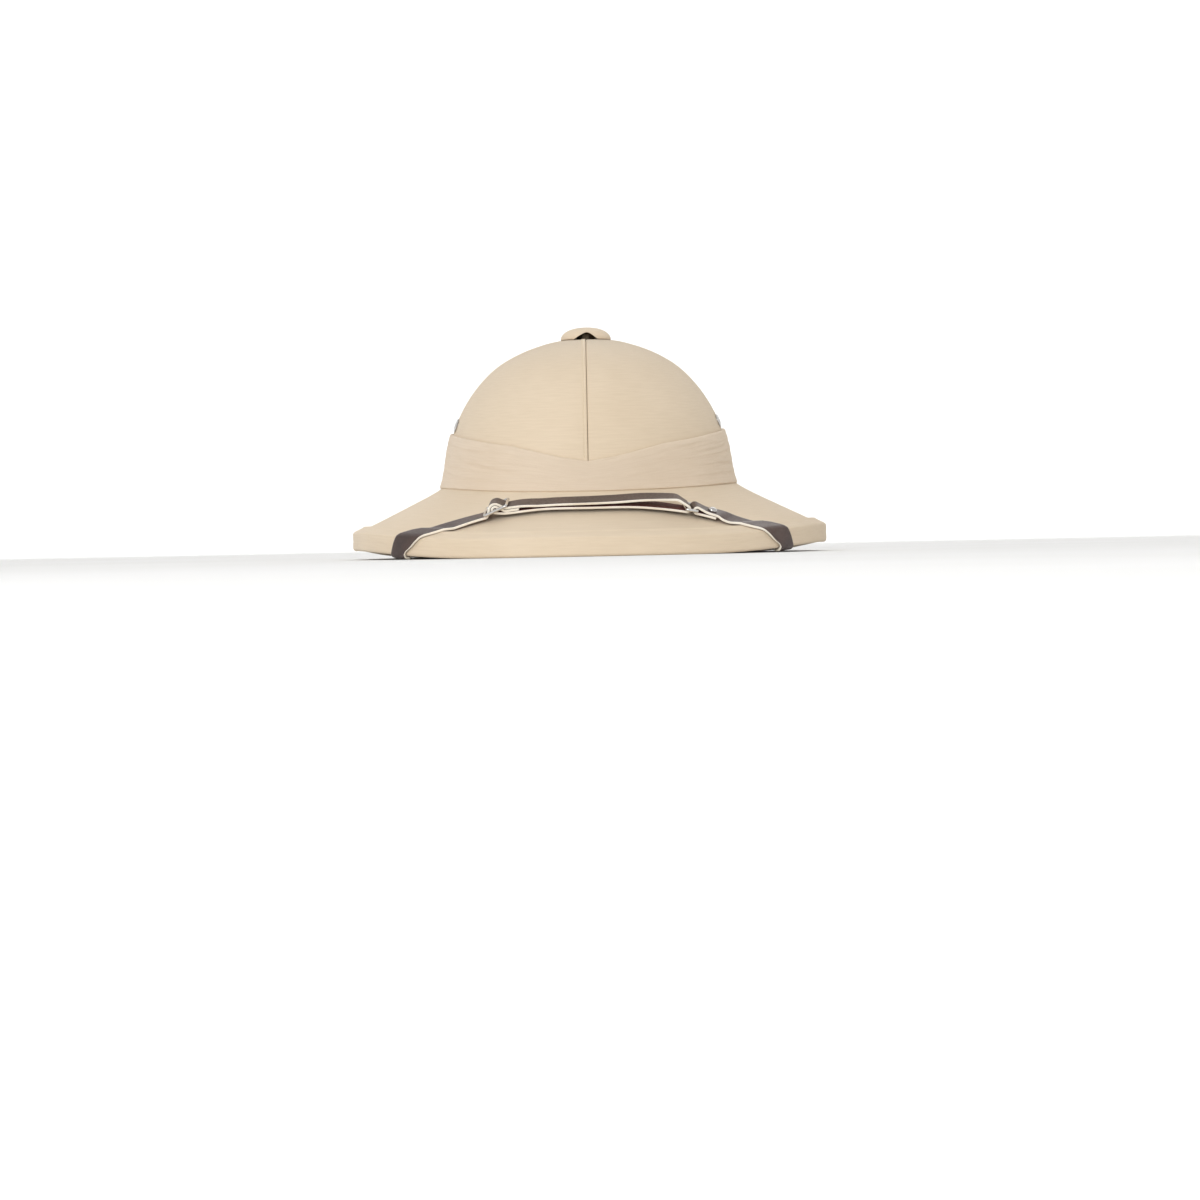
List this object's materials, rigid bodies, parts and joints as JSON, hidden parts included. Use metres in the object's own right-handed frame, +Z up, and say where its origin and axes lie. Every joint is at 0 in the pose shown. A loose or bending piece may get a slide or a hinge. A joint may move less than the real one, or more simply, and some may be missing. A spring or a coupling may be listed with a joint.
{
  "type": "pith helmet",
  "caption": "Sun helmet with a high pith crown, sloping brim, pleated cloth band, top ventilator button and a buckled leather chin strap worn over the brim.",
  "frame": {"origin": "on the floor, under the middle of the brim's outline, with the helmet resting on the front and back of its rim", "axes": "+Z up; the wearer faces -Y; +X is the wearer's left"},
  "size_m": [0.3, 0.336, 0.1445],
  "materials": {
    "pith": "moulded plant pith, matt and slightly rough",
    "cover_cloth": "khaki cotton twill, matt",
    "band_cloth": "light khaki cotton in folds, matt",
    "lining_cloth": "pale pinkish cotton, matt",
    "leather": "dark brown leather with a soft sheen and pale cut edges",
    "steel": "plated steel, softly polished"
  },
  "bodies": {
    "root": {"shell": "pith", "crown_cover_left": "cover_cloth", "crown_cover_right": "cover_cloth", "brim_cover": "cover_cloth", "brim_lining": "lining_cloth", "edge_binding": "cover_cloth", "puggaree": "band_cloth", "vent_cap": "cover_cloth", "vent_post": "steel", "eyelet_right_front": "steel", "eyelet_right_back": "steel", "eyelet_left_front": "steel", "eyelet_left_back": "steel", "chin_strap": "leather", "short_strap": "leather", "strap_slider": "steel", "strap_ring": "steel", "strap_rivet": "steel", "anchor_rivet_left": "steel", "anchor_rivet_right": "steel"}
  },
  "joints": []
}
